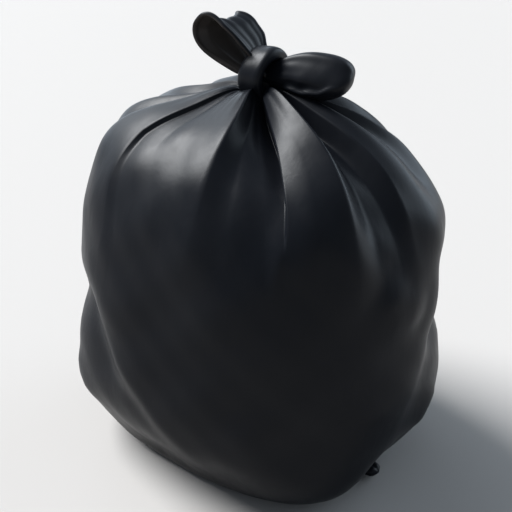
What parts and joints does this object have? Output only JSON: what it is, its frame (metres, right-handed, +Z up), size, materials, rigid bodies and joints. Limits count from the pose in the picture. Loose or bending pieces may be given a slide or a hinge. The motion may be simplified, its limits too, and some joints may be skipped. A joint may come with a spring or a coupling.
{
  "type": "full bin bag",
  "caption": "Full household bin bag of dark plastic film, its gathered neck tied in a knot with a loop of film standing out on each side.",
  "frame": {"origin": "on the floor, at the middle of the filled body's foot", "axes": "+Z up through the neck, X along the bow of the knot and the long side of the foot, -Y the broad front with the overlapping fold"},
  "size_m": [0.5044, 0.4397, 0.6019],
  "materials": {
    "film": "semi-gloss, slightly bluish near-black polyethylene film, smooth where it is stretched and creased round the neck"
  },
  "bodies": {
    "root": {"bag": "film"}
  },
  "joints": []
}
